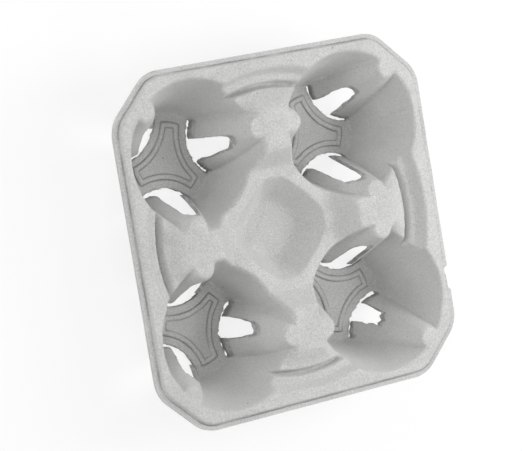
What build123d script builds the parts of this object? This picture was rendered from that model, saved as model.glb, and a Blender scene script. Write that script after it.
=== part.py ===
from build123d import *
from math import atan, cos, degrees, hypot, radians, sin, sqrt
import os

# Cup carrier pressed from paper pulp: one thin shell with four leaning wells.
# Every surface is open to above or below, as it has to be to leave its mould.
# The shell is what lies under the upper face and above the lower face.
# Both faces come from the same functions, the lower one set back by the wall.
# The frame has its origin under the middle, on the resting face, with +Z up.

# Overall sizes in millimetres
SIDE = 210.0
HEIGHT = 49.0
WALL = 2.2
OVERRUN = 8.0

# Rim: an outer lip, a leaning step and a flat top, with one small tear in the lip
CORNER_REACH = 129.5
CORNER_BLEND = 20.0
LIP_WIDTH = 2.8
LIP_DROP = 2.6
STEP_RUN = 1.4
RIM_FLAT = 3.6
TEAR_LENGTH = 14.0
TEAR_DEPTH = 2.5
TEAR_OFFSET = 50.0

# Wells: leaning cones with three fins, from the floor up to the mouth
MOUTH_RADIUS = 44.0
FLOOR_RADIUS = 29.0
WELL_LEAN = 2.6
FIN_DISTANCE = 42.5
FIN_FOOT_RADIUS = 26.6
FIN_TOP_RADIUS = 6.0
FIN_SPREAD_DEG = 123.0

# Raised bead that stiffens each floor
BEAD_MARGIN = 4.6
BEAD_WIDTH = 3.4
BEAD_HEIGHT = 1.2
BEAD_REACH = 23.0

# Openings at the foot of each fin
WINDOW_REACH = 14.5
WINDOW_BASE = 14.5
WINDOW_TIP = 8.0
WINDOW_BLEND = 2.5
SLIT_WIDTH = 2.8
SLIT_BITE = 0.5
SLIT_SPREAD_DEG = 78.0

# Saddles: the low part of each side, with a steep outer wall, a ledge and a groove
SADDLE_DROP = 7.0
SADDLE_RUN = 4.2
SHELF_WIDTH = 5.4
LEDGE_WIDTH = 3.6
GROOVE_WIDTH = 4.2
GROOVE_DEPTH = 4.6
GROOVE_RUN = 0.8

# Spine that runs level from between two fins out over the saddle
SPINE_WIDTH = 13.0
SPINE_REACH = 13.0
SPINE_RUN = 5.0
SPINE_FLARE = 2.4

# Centre pocket, the level band around it and the ramps up to the fins
BAND_DROP = 13.0
BAND_WIDTH = 6.4
BAND_END = 5.4
BAND_RUN = 11.0
POCKET_DEPTH = 16.0
POCKET_RUN = 11.0
POCKET_BULGE = 3.0
POCKET_CORNER_SHARE = 1.0
POCKET_BLEND = 5.0

QUARTERS = 4
DIAGONAL_DEG = 45.0
QUARTER_DEG = 90.0

# Heights and places that follow from the sizes above
HALF_SIDE = SIDE / 2
RISE = HEIGHT - WALL
RIM_EDGE = HALF_SIDE - LIP_WIDTH - STEP_RUN
MOUTH_CENTRE = RIM_EDGE - RIM_FLAT - MOUTH_RADIUS
FLOOR_CENTRE = MOUTH_CENTRE - WELL_LEAN
WELL_FLARE = (MOUTH_RADIUS - FLOOR_RADIUS) / RISE
FIN_TAPER = (FIN_FOOT_RADIUS - FIN_TOP_RADIUS) / RISE
SADDLE_LEVEL = HEIGHT - SADDLE_DROP
BAND_LEVEL = HEIGHT - BAND_DROP
BASIN_OUTER = RIM_EDGE - SHELF_WIDTH - SADDLE_RUN
GROOVE_OUTER = BASIN_OUTER - LEDGE_WIDTH
GROOVE_INNER = GROOVE_OUTER - GROOVE_WIDTH

# Solids that stand on their own foot
ON_FOOT = (Align.CENTER, Align.CENTER, Align.MIN)


def lean_at(level):
    """Sideways shift of the wells at a height."""
    return WELL_LEAN * (level - WALL) / RISE


def well_radius(level):
    """Radius of a well's upper face at a height."""
    return FLOOR_RADIUS + WELL_FLARE * (level - WALL)


def fin_radius(level):
    """Radius of a fin's upper face at a height."""
    return FIN_FOOT_RADIUS - FIN_TAPER * (level - WALL)


def set_back(back, slope):
    """Sideways part of setting a wall back, for its run per unit of drop."""
    return back * (hypot(1, slope) - slope)


def octagon(half, reach, blend):
    """Square face with slanted corners, from its half width and its reach to a corner."""
    shoulder = reach * sqrt(2) - half
    points = []
    for turn in range(QUARTERS):
        for place in (Vector(half, -shoulder), Vector(half, shoulder)):
            points.append(place.rotate(Axis.Z, turn * QUARTER_DEG))
    face = make_face(Polyline(points, close=True))
    return fillet(face.vertices(), blend)


def rim_outline(inset):
    """Face of the rim's outline, set in from the outer edge."""
    return octagon(HALF_SIDE - inset, CORNER_REACH - inset, CORNER_BLEND - inset)


def all_round(shape):
    """The shape and its three copies, a quarter turn apart."""
    turns = [Rot(0, 0, turn * QUARTER_DEG) * shape for turn in range(QUARTERS)]
    return turns[0].fuse(*turns[1:])


def tapered(face, low, high, slope):
    """Solid that stands on a face at one height and widens by the slope up to another."""
    return Pos(0, 0, low) * extrude(face, high - low, taper=-degrees(atan(slope)))


def leaning_cone(centre, low, high, radius_at):
    """Cone that leans with the wells, over a centre given at floor level, cut level at both ends."""
    start = low - OVERRUN
    end = high + OVERRUN
    shift = lean_at(start)
    axis = Plane((centre.X + shift, centre.Y + shift, start), z_dir=(WELL_LEAN, WELL_LEAN, RISE))
    length = (end - start) * hypot(WELL_LEAN, WELL_LEAN, RISE) / RISE
    cone = axis * Cone(radius_at(start), max(radius_at(end), 0), length, align=ON_FOOT)
    slab = Pos(centre.X, centre.Y, low) * Box(SIDE, SIDE, high - low, align=ON_FOOT)
    return cone & slab


def channel(back, inner, outer, level, slope):
    """Round channel with leaning sides, from its two radii and its height at the foot."""
    low = level - back
    high = HEIGHT + OVERRUN
    near = inner - set_back(back, slope)
    far = outer + set_back(back, slope)
    lean = slope * (high - low)
    corners = [(near, 0, low), (far, 0, low), (far + lean, 0, high), (near - lean, 0, high)]
    return revolve(make_face(Polyline(corners, close=True)), Axis.Z)


def fin_angles():
    """Directions from a well's middle to its three fins, the corner one first."""
    return [DIAGONAL_DEG + swing for swing in (0, FIN_SPREAD_DEG, -FIN_SPREAD_DEG)]


def fin_centre(angle):
    """Centre of the fin in one direction, at floor level."""
    reach = Vector(FIN_DISTANCE * cos(radians(angle)), FIN_DISTANCE * sin(radians(angle)))
    return Vector(FLOOR_CENTRE, FLOOR_CENTRE) + reach


def post_reach():
    """Distance from the middle, along a saddle, to the tops of the fins beside it."""
    return fin_centre(DIAGONAL_DEG + FIN_SPREAD_DEG).Y + WELL_LEAN


def block(back, spread):
    """Solid under the rim, its step and its lip, spread past the edge and the resting face."""
    slope = STEP_RUN / LIP_DROP
    shelf = HEIGHT - LIP_DROP - back
    base = Pos(0, 0, -spread) * extrude(rim_outline(-spread), shelf + spread)
    crown = tapered(rim_outline(LIP_WIDTH + set_back(back, slope)), shelf, HEIGHT - back, -slope)
    return base + crown


def well(back):
    """Cone of one well, with its floor."""
    grow = back * hypot(1, WELL_FLARE)
    place = Vector(FLOOR_CENTRE, FLOOR_CENTRE)
    return leaning_cone(place, WALL - back, HEIGHT + OVERRUN, lambda level: well_radius(level) + grow)


def fins(back, foot):
    """The three fins of one well, from a foot height up to the rim's flat top."""
    shrink = back * hypot(1, FIN_TAPER)
    cones = []
    for angle in fin_angles():
        centre = fin_centre(angle)
        cones.append(leaning_cone(centre, foot, HEIGHT - back, lambda level: fin_radius(level) - shrink))
    return cones[0].fuse(*cones[1:])


def basin(back):
    """Round dip that lowers the saddles, from the fins' tops out to the steep wall."""
    inner = post_reach() + FIN_TOP_RADIUS
    return channel(back, inner, BASIN_OUTER, SADDLE_LEVEL, SADDLE_RUN / SADDLE_DROP)


def groove(back):
    """Arc-shaped groove that crosses every saddle."""
    inner = GROOVE_INNER + GROOVE_RUN
    outer = GROOVE_OUTER - GROOVE_RUN
    return channel(back, inner, outer, SADDLE_LEVEL - GROOVE_DEPTH, GROOVE_RUN / GROOVE_DEPTH)


def pocket_reach():
    """Distance from the middle to the pocket's slanted sides, a band's width from the wells."""
    well_middle = (FLOOR_CENTRE + lean_at(BAND_LEVEL)) * sqrt(2)
    return well_middle - well_radius(BAND_LEVEL) - BAND_WIDTH


def band(back):
    """Square dip with ramps that lead from the fins' tops down to the pocket's band."""
    slope = BAND_RUN / BAND_DROP
    half = pocket_reach() + POCKET_BULGE + BAND_END + set_back(back, slope)
    return tapered(Rectangle(2 * half, 2 * half), BAND_LEVEL - back, HEIGHT + OVERRUN, slope)


def pocket(back):
    """Eight-sided pocket in the middle, with a rounded bottom."""
    slope = POCKET_RUN / POCKET_DEPTH
    reach = pocket_reach() - POCKET_RUN + set_back(back, slope)
    half = reach + POCKET_BULGE
    shoulder = reach * sqrt(2) - half
    floor = octagon(half, reach, POCKET_CORNER_SHARE * shoulder)
    tool = tapered(floor, BAND_LEVEL - POCKET_DEPTH - back, BAND_LEVEL + OVERRUN, slope)
    return fillet(tool.faces().sort_by(Axis.Z)[0].edges(), POCKET_BLEND + back)


def spine(back):
    """Level ridge over a saddle, with leaning sides and a leaning end."""
    side_slope = SPINE_FLARE / SADDLE_DROP
    end_slope = SPINE_RUN / SADDLE_DROP
    top = HEIGHT - back
    foot = BAND_LEVEL - OVERRUN
    start = post_reach()
    end = start + SPINE_REACH - set_back(back, end_slope)
    end_foot = end + end_slope * (top - foot)
    half = SPINE_WIDTH / 2 - set_back(back, side_slope)
    half_foot = half + side_slope * (top - foot)
    profile = [(0, start, foot), (0, start, top), (0, end, top), (0, end_foot, foot)]
    section = [(-half_foot, start, foot), (-half, start, top), (half, start, top), (half_foot, start, foot)]
    along = extrude(make_face(Polyline(profile, close=True)), half_foot, both=True)
    across = extrude(make_face(Polyline(section, close=True)), end_foot - start, dir=(0, 1, 0))
    return along & across


def under_face(back, spread):
    """Everything that lies under one face of the shell."""
    dips = all_round(well(back)).fuse(basin(back), band(back), pocket(back))
    ridges = all_round(fins(back, -spread)).fuse(all_round(spine(back)))
    inside = extrude(rim_outline(-spread), HEIGHT + spread)
    ridges = ridges & (Pos(0, 0, -spread) * inside)
    return block(back, spread) - dips + ridges - groove(back)


def floor_star(margin, reach):
    """Three-armed face on a well's floor, a margin inside the fins' feet."""
    star = Pos(FLOOR_CENTRE, FLOOR_CENTRE) * Circle(reach)
    for angle in fin_angles():
        centre = fin_centre(angle)
        star -= Pos(centre.X, centre.Y) * Circle(FIN_FOOT_RADIUS + margin)
    return star


def bead():
    """Raised line around one floor, joined to it by a short root."""
    outer = floor_star(BEAD_MARGIN, BEAD_REACH)
    inner = floor_star(BEAD_MARGIN + BEAD_WIDTH, BEAD_REACH - BEAD_WIDTH)
    root = WALL / 2
    return Pos(0, 0, root) * extrude(outer - inner, WALL - root + BEAD_HEIGHT)


def window(angle):
    """Opening in the front of one fin, with the slit that frees the fin's foot from the floor."""
    centre = fin_centre(angle)
    tip = FIN_FOOT_RADIUS - WINDOW_REACH
    half_tip = WINDOW_TIP / 2
    half_base = WINDOW_BASE / 2
    base = sqrt(FIN_FOOT_RADIUS**2 - half_base**2)
    corners = [(tip, -half_tip), (base, -half_base), (base, half_base), (tip, half_tip)]
    face = make_face(Polyline(corners, close=True))
    face = fillet(face.vertices().group_by(Axis.X)[0], WINDOW_BLEND)
    middle = FIN_FOOT_RADIUS + SLIT_BITE - SLIT_WIDTH / 2
    slit = SlotArc(CenterArc((0, 0), middle, -SLIT_SPREAD_DEG / 2, SLIT_SPREAD_DEG), SLIT_WIDTH)
    place = Pos(centre.X, centre.Y, -OVERRUN) * Rot(0, 0, angle + 2 * QUARTER_DEG)
    return extrude(place * (face + slit), HEIGHT)


def tear():
    """Shallow bite out of the lip on one side."""
    radius = ((TEAR_LENGTH / 2) ** 2 + TEAR_DEPTH**2) / (2 * TEAR_DEPTH)
    place = Pos(HALF_SIDE - TEAR_DEPTH + radius, -TEAR_OFFSET, 0)
    return place * Cylinder(radius, HEIGHT, align=ON_FOOT)


def carrier():
    """The whole shell, with its beads, openings and tear."""
    shell = under_face(0, 0) - under_face(WALL, OVERRUN)
    windows = [window(angle) for angle in fin_angles()]
    openings = all_round(windows[0].fuse(*windows[1:]))
    return shell + all_round(bead()) - openings - tear()


os.makedirs("parts", exist_ok=True)
export_step(carrier(), "parts/pulp_tray.step")
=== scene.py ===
"""Looks of a cup carrier pressed from paper pulp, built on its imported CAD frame."""

import logging
import math
from dataclasses import dataclass, field, fields
from enum import Enum

import bpy
import numpy as np
from mathutils import Matrix, Vector

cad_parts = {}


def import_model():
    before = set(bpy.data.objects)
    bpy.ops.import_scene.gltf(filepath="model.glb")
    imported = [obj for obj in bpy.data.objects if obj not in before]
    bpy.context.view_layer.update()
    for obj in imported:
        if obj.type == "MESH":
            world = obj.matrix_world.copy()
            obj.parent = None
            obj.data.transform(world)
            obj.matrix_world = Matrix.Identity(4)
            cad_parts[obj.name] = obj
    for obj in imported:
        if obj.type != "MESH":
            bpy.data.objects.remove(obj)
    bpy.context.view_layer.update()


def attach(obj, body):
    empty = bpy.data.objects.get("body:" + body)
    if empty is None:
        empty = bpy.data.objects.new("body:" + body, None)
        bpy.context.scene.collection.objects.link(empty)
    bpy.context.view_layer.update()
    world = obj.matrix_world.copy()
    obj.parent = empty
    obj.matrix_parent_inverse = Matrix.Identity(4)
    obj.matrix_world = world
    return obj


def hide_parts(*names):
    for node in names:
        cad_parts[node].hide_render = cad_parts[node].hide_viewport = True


LOG = logging.getLogger("cup_carrier")
MILLIMETRE = 0.001
NOISE_MIDDLE = 0.5
WHITE = (1.0, 1.0, 1.0, 1.0)


class MathStep(Enum):
    """Operations of the math node that the rules and finishes use."""

    ADD = "ADD"
    SUBTRACT = "SUBTRACT"
    MULTIPLY = "MULTIPLY"
    DIVIDE = "DIVIDE"
    ABSOLUTE = "ABSOLUTE"
    SQUARE_ROOT = "SQRT"
    SINE = "SINE"
    GREATER = "GREATER_THAN"
    SMOOTH_MINIMUM = "SMOOTH_MIN"
    SMOOTH_MAXIMUM = "SMOOTH_MAX"


class FinPlace(Enum):
    """Where a fin stands in its well, as a direction in degrees from the well's middle."""

    CORNER = 45.0
    LEFT = 168.0
    RIGHT = -78.0


class Field:
    """A number that varies over a piece, worked out by math nodes in one tree."""

    def __init__(self, tree: bpy.types.NodeTree, socket: bpy.types.NodeSocket) -> None:
        """Wraps the output socket of a node in its tree."""
        self.tree = tree
        self.socket = socket

    def step(self, operation: MathStep, *others: "Field | float") -> "Field":
        """Adds one math node that starts from this number.

        Args:
            operation: What the node does.
            others: The node's other numbers, in order.

        Returns:
            The node's result.
        """
        node = self.tree.nodes.new("ShaderNodeMath")
        node.operation = operation.value
        for slot, value in zip(node.inputs, (self, *others)):
            if isinstance(value, Field):
                self.tree.links.new(value.socket, slot)
            else:
                slot.default_value = float(value)
        return Field(self.tree, node.outputs[0])

    def __add__(self, other: "Field | float") -> "Field":
        """Sum of two numbers."""
        return self.step(MathStep.ADD, other)

    __radd__ = __add__

    def __sub__(self, other: "Field | float") -> "Field":
        """Difference of two numbers."""
        return self.step(MathStep.SUBTRACT, other)

    def __rsub__(self, other: float) -> "Field":
        """Difference from a plain number on the left."""
        return (self * -1.0) + other

    def __mul__(self, other: "Field | float") -> "Field":
        """Product of two numbers."""
        return self.step(MathStep.MULTIPLY, other)

    __rmul__ = __mul__

    def __truediv__(self, other: "Field | float") -> "Field":
        """Quotient of two numbers."""
        return self.step(MathStep.DIVIDE, other)

    def lower_of(self, other: "Field | float", blend: "Field | float" = 0.0) -> "Field":
        """The smaller of two numbers, run softly into one another over a blend."""
        return self.step(MathStep.SMOOTH_MINIMUM, other, blend)

    def higher_of(self, other: "Field | float", blend: "Field | float" = 0.0) -> "Field":
        """The larger of two numbers, run softly into one another over a blend."""
        return self.step(MathStep.SMOOTH_MAXIMUM, other, blend)

    def size(self) -> "Field":
        """The number without its sign."""
        return self.step(MathStep.ABSOLUTE)

    def root(self) -> "Field":
        """Square root of the number, or of zero where it is negative."""
        return self.higher_of(0.0).step(MathStep.SQUARE_ROOT)

    def ramp(self, low: float, high: float) -> "Field":
        """Smooth rise from 0 at one number to 1 at another.

        Args:
            low: The number at which the rise starts.
            high: The number at which it ends.

        Returns:
            The height of the rise, from 0 to 1.
        """
        node = self.tree.nodes.new("ShaderNodeMapRange")
        node.interpolation_type = "SMOOTHSTEP"
        self.tree.links.new(self.socket, node.inputs["Value"])
        node.inputs["From Min"].default_value = low
        node.inputs["From Max"].default_value = high
        return Field(self.tree, node.outputs["Result"])


def length_of(across: Field, along: Field) -> Field:
    """Distance from two steps at right angles."""
    return (across * across + along * along).root()


@dataclass(frozen=True)
class TraySizes:
    """Sizes of the pressed tray, in millimetres."""

    side: float = 210.0
    height: float = 49.0
    wall: float = 2.2
    corner_reach: float = 129.5
    corner_blend: float = 20.0
    lip_width: float = 2.8
    lip_drop: float = 2.6
    step_run: float = 1.4
    rim_flat: float = 3.6
    mouth_radius: float = 44.0
    floor_radius: float = 29.0
    well_lean: float = 2.6
    fin_distance: float = 42.5
    fin_foot_radius: float = 26.6
    fin_top_radius: float = 6.0
    bead_margin: float = 4.6
    bead_width: float = 3.4
    bead_height: float = 0.9
    bead_reach: float = 23.0
    window_reach: float = 14.5
    window_base: float = 14.5
    window_tip: float = 8.0
    slit_width: float = 2.8
    slit_bite: float = 0.5
    slit_spread_deg: float = 78.0
    saddle_drop: float = 7.0
    shelf_width: float = 5.4
    saddle_run: float = 4.2
    ledge_width: float = 3.6
    groove_width: float = 4.2
    groove_depth: float = 6.4
    groove_run: float = 1.9
    spine_width: float = 19.0
    spine_reach: float = 11.0
    spine_run: float = 8.0
    spine_flare: float = 6.0
    spine_back_slope: float = 4.0
    band_drop: float = 13.0
    band_width: float = 6.4
    band_end: float = 5.4
    band_run: float = 11.0
    pocket_depth: float = 16.0
    pocket_run: float = 11.0
    pocket_bulge: float = 3.0

    @property
    def half_side(self) -> float:
        """Half the width of the whole tray."""
        return self.side / 2

    @property
    def rise(self) -> float:
        """Height of the rim's top above the upper face of the floors."""
        return self.height - self.wall

    @property
    def rim_edge(self) -> float:
        """Distance from the middle to the outer edge of the rim's flat top."""
        return self.half_side - self.lip_width - self.step_run

    @property
    def floor_centre(self) -> float:
        """Distance from the middle to a well's axis, along X and Y, at the floor."""
        return self.rim_edge - self.rim_flat - self.mouth_radius - self.well_lean

    @property
    def well_flare(self) -> float:
        """Growth of a well's radius for each unit of height."""
        return (self.mouth_radius - self.floor_radius) / self.rise

    @property
    def fin_taper(self) -> float:
        """Loss of a fin's radius for each unit of height."""
        return (self.fin_foot_radius - self.fin_top_radius) / self.rise

    @property
    def lean(self) -> float:
        """Sideways shift of the wells, along X and Y, for each unit of height."""
        return self.well_lean / self.rise

    @property
    def band_level(self) -> float:
        """Height of the band around the pocket."""
        return self.height - self.band_drop

    @property
    def post_reach(self) -> float:
        """Distance from the middle, along a saddle, to the tops of the fins beside it."""
        return self.fin_centre(FinPlace.LEFT)[1] + self.well_lean

    @property
    def basin_inner(self) -> float:
        """Radius at which the saddles start to rise to the fins' tops."""
        return self.post_reach + self.fin_top_radius

    @property
    def basin_outer(self) -> float:
        """Radius at which the saddles start to rise to the rim."""
        return self.rim_edge - self.shelf_width - self.saddle_run

    @property
    def groove_inner(self) -> float:
        """Inner radius of the groove across each saddle."""
        return self.basin_outer - self.ledge_width - self.groove_width

    @property
    def pocket_reach(self) -> float:
        """Distance from the middle to the pocket's slanted sides at the band.

        Returns:
            The distance in millimetres.
        """
        level = self.band_level - self.wall
        middle = (self.floor_centre + self.lean * level) * math.sqrt(2)
        return middle - (self.floor_radius + self.well_flare * level) - self.band_width

    @property
    def band_half(self) -> float:
        """Half the width of the level band around the pocket."""
        return self.pocket_reach + self.pocket_bulge + self.band_end

    def fin_centre(self, place: FinPlace) -> tuple[float, float]:
        """Centre of one fin of the first well, at the floor.

        Args:
            place: Which of the three fins.

        Returns:
            Its X and Y in millimetres.
        """
        angle = math.radians(place.value)
        return (
            self.floor_centre + self.fin_distance * math.cos(angle),
            self.floor_centre + self.fin_distance * math.sin(angle),
        )


@dataclass(frozen=True)
class Softness:
    """How widely the pressed surfaces run into one another, in millimetres.

    Most are heights over which two surfaces blend. A well's upper edge is rounded by neck up to
    one distance from the tray's middle, and by rim from another. A fin blends by fin_side, and by
    fin_saddle where the well's wall would stand fin_change above the deck.
    """

    rim: float = 4.0
    neck: float = 10.0
    neck_end: float = 60.0
    rim_start: float = 84.0
    step: float = 0.1
    bead: float = 1.1
    well_floor: float = 4.0
    fin_top: float = 5.0
    fin_side: float = 2.2
    fin_saddle: float = 9.0
    fin_change: float = 8.0
    saddle: float = 2.0
    groove: float = 1.4
    band: float = 3.5
    pocket: float = 5.0
    pocket_corner: float = 4.0
    pocket_axis: float = 6.0
    spine: float = 6.0
    top: float = 1.2


@dataclass(frozen=True)
class Unevenness:
    """Slow waves and small lumps that drying leaves in both faces, in millimetres of height."""

    wave_scale: float = 45.0
    wave_height: float = 0.9
    lump_scale: float = 170.0
    lump_height: float = 0.35
    detail: float = 2.0


@dataclass(frozen=True)
class WindowWear:
    """How one opening differs from the others, in millimetres.

    An opening can be longer or wider, lie more to one side, bite further into the floor,
    be more ragged, and have a wider or narrower slit.
    """

    longer: float = 0.0
    wider: float = 0.0
    aside: float = 0.0
    bite: float = 0.0
    ragged: float = 0.0
    slit_share: float = 0.7


class Quarter(Enum):
    """The four wells, as signs of X and Y."""

    BACK_LEFT = (-1, 1)
    BACK_RIGHT = (1, 1)
    FRONT_LEFT = (-1, -1)
    FRONT_RIGHT = (1, -1)


WORN_WINDOWS: dict[tuple[Quarter, FinPlace], WindowWear] = {
    (Quarter.BACK_LEFT, FinPlace.CORNER): WindowWear(longer=4.0, wider=4.0),
    (Quarter.BACK_LEFT, FinPlace.LEFT): WindowWear(longer=-0.8, aside=-0.8, bite=-0.5),
    (Quarter.BACK_LEFT, FinPlace.RIGHT): WindowWear(longer=2.0, wider=7.0, aside=-0.8, bite=-1.0),
    (Quarter.BACK_RIGHT, FinPlace.CORNER): WindowWear(longer=-0.6, wider=0.8, aside=-1.1, bite=0.4),
    (Quarter.BACK_RIGHT, FinPlace.RIGHT): WindowWear(longer=1.5, wider=3.6, aside=1.2, bite=-0.2),
    (Quarter.FRONT_LEFT, FinPlace.CORNER): WindowWear(longer=2.5, wider=4.0, bite=-0.6),
    (Quarter.FRONT_LEFT, FinPlace.LEFT): WindowWear(longer=-3.0, aside=-0.7, bite=-0.5),
    (Quarter.FRONT_LEFT, FinPlace.RIGHT): WindowWear(longer=2.0, wider=6.4, aside=-2.2, bite=-1.2),
    (Quarter.FRONT_RIGHT, FinPlace.CORNER): WindowWear(
        longer=-3.2, aside=-0.8, bite=-0.4, ragged=1.5
    ),
    (Quarter.FRONT_RIGHT, FinPlace.RIGHT): WindowWear(longer=-0.8, wider=2.6, aside=0.2, bite=-0.1),
}


def soft_higher(first: np.ndarray, second: np.ndarray, blend: float) -> np.ndarray:
    """The larger of two sets of numbers, run softly into one another over a blend."""
    overlap = np.maximum(blend - np.abs(first - second), 0.0) / blend
    return np.maximum(first, second) + overlap**3 * blend / 6


def edge_keys(ends: np.ndarray, count: int) -> np.ndarray:
    """One number for each edge, the same in both directions, from its two point numbers."""
    ordered = np.sort(ends, axis=1)
    return ordered[:, 0] * count + ordered[:, 1]


@dataclass
class RaggedNoise:
    """Smooth random heights over the plan, the same on every run."""

    pitch: float
    seed: int
    cells: int = 257

    def __post_init__(self) -> None:
        """Fills the lattice from the seed."""
        self.lattice = np.random.default_rng(self.seed).uniform(-1.0, 1.0, (self.cells, self.cells))

    def at(self, x: np.ndarray, y: np.ndarray) -> np.ndarray:
        """Random heights from -1 to 1.

        Args:
            x: X of the points, in millimetres.
            y: Y of the points, in millimetres.

        Returns:
            One height for each point.
        """
        half = self.cells // 2
        # The far corners of the last cell still lie on the lattice
        last = self.cells - 2.001
        column = np.clip(x / self.pitch + half, 0, last)
        row = np.clip(y / self.pitch + half, 0, last)
        i, j = column.astype(int), row.astype(int)
        a, b = column - i, row - j
        a, b = a * a * (3 - 2 * a), b * b * (3 - 2 * b)
        low = self.lattice[i, j] * (1 - a) + self.lattice[i + 1, j] * a
        high = self.lattice[i, j + 1] * (1 - a) + self.lattice[i + 1, j + 1] * a
        return low * (1 - b) + high * b


@dataclass
class PulpBlank:
    """Flat sheet with the tray's outline and openings, ready to be pressed.

    Its upper and lower layers lie on each other, joined along every edge. Depths and pitches are
    in millimetres. The shares are of a mesh cell: how near an edge a point has to be to move
    onto it, how far apart its slope is read, and how near still counts as on the edge.
    """

    sizes: TraySizes
    cells: int = 208
    rim_cells: int = 12
    rim_zone: float = 8.0
    snap_rounds: int = 2
    snap_share: float = 0.33
    slope_share: float = 0.1
    touch_share: float = 0.06
    least_steep: float = 0.25
    ragged_depth: float = 0.45
    ragged_pitch: float = 2.6
    fray_depth: float = 0.25
    fray_pitch: float = 1.1
    fray_scale: float = 0.8
    tip_blend: float = 4.0
    seed: int = 11
    tear_places: tuple[float, ...] = (-57.6, -56.2, -48.5, -45.8, -43.6, -42.8)
    tear_depths: tuple[float, ...] = (0.0, 1.7, 1.9, 2.8, 2.1, 0.0)
    torn_noise: RaggedNoise = field(init=False)
    fray_noise: RaggedNoise = field(init=False)

    def __post_init__(self) -> None:
        """Prepares the noise that frays the openings."""
        self.torn_noise = RaggedNoise(self.ragged_pitch, self.seed)
        self.fray_noise = RaggedNoise(self.fray_pitch, self.seed + 1)

    def edge_distance(self, x: np.ndarray, y: np.ndarray) -> np.ndarray:
        """Distance from the moulded outer edge, positive on the tray.

        Args:
            x: X of the points, in millimetres.
            y: Y of the points, in millimetres.

        Returns:
            One distance for each point, in millimetres.
        """
        s = self.sizes
        half = s.half_side - s.corner_blend
        reach = s.corner_reach - s.corner_blend
        shoulder = reach * math.sqrt(2) - half
        u = np.maximum(np.abs(x), np.abs(y))
        v = np.minimum(np.abs(x), np.abs(y))
        sides = np.maximum(u - half, (u + v) / math.sqrt(2) - reach)
        at_corner = (v > shoulder) & (u - half > v - shoulder)
        outside = np.where(at_corner, np.hypot(u - half, v - shoulder), sides)
        return s.corner_blend - outside

    def opening_distance(self, x: np.ndarray, y: np.ndarray) -> np.ndarray:
        """Distance from the nearest opening's clean edge, negative inside it.

        Args:
            x: X of the points, in millimetres.
            y: Y of the points, in millimetres.

        Returns:
            One distance for each point, in millimetres.
        """
        nearest = np.full(np.shape(x), self.sizes.side)
        for quarter in Quarter:
            u, v = x * quarter.value[0], y * quarter.value[1]
            for place in FinPlace:
                wear = WORN_WINDOWS.get((quarter, place), WindowWear())
                nearest = np.minimum(nearest, self.window_distance(u, v, place, wear))
        return nearest

    def window_distance(
        self, u: np.ndarray, v: np.ndarray, place: FinPlace, wear: WindowWear
    ) -> np.ndarray:
        """Distance from the edge of one opening of the first well, negative inside it.

        Args:
            u: X of the points, in millimetres, mirrored into the first well's quarter.
            v: Y of the points, mirrored in the same way.
            place: The fin that the opening is in.
            wear: How the opening differs from the others.

        Returns:
            One distance for each point, in millimetres.
        """
        s = self.sizes
        tip = s.fin_foot_radius - s.window_reach - wear.longer
        base = math.sqrt(s.fin_foot_radius**2 - (s.window_base / 2) ** 2)
        flank = (s.window_base - s.window_tip) / 2 / (base - tip)
        width = s.slit_width * wear.slit_share
        middle = s.fin_foot_radius + s.slit_bite + wear.bite - width / 2
        spread = math.radians(s.slit_spread_deg / 2)
        cx, cy = s.fin_centre(place)
        turn = math.radians(place.value) + math.pi
        dx, dy = u - cx, v - cy
        along = dx * math.cos(turn) + dy * math.sin(turn)
        across = dy * math.cos(turn) - dx * math.sin(turn)
        beside = np.abs(across - wear.aside) - (s.window_tip + wear.wider) / 2
        side = (beside - flank * (along - tip)) / math.hypot(1, flank)
        foot = np.hypot(along, across) - middle
        frayed = wear.ragged * self.fray_noise.at(u * self.fray_scale, v * self.fray_scale)
        window = np.maximum(soft_higher(tip - along, side, self.tip_blend) + frayed, foot)
        angle = np.minimum(np.arctan2(np.abs(across), along), spread)
        slit = np.hypot(along - middle * np.cos(angle), np.abs(across) - middle * np.sin(angle))
        return np.minimum(window, slit - width / 2)

    def outside(self, x: np.ndarray, y: np.ndarray) -> np.ndarray:
        """Distance outside the sheet, negative on it, with torn and frayed edges.

        Args:
            x: X of the points, in millimetres.
            y: Y of the points, in millimetres.

        Returns:
            One distance for each point, in millimetres.
        """
        torn = self.ragged_depth * self.torn_noise.at(x, y)
        torn = torn + self.fray_depth * self.fray_noise.at(x, y)
        opening = self.opening_distance(x, y) + torn
        tear = np.interp(y, self.tear_places, self.tear_depths)
        edge = self.edge_distance(x, y) - np.where(x > 0, tear, 0.0)
        return np.maximum(-edge, -opening)

    def bead_distance(self, x: np.ndarray, y: np.ndarray) -> np.ndarray:
        """Distance from the middle line of the bead on a well's floor.

        Args:
            x: X of the points, in millimetres.
            y: Y of the points, in millimetres.

        Returns:
            One distance for each point, in millimetres.
        """
        s = self.sizes
        u, v = np.abs(x), np.abs(y)
        star = np.hypot(u - s.floor_centre, v - s.floor_centre) - s.bead_reach
        for place in FinPlace:
            cx, cy = s.fin_centre(place)
            star = np.maximum(star, s.fin_foot_radius + s.bead_margin - np.hypot(u - cx, v - cy))
        return star + s.bead_width / 2

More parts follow.
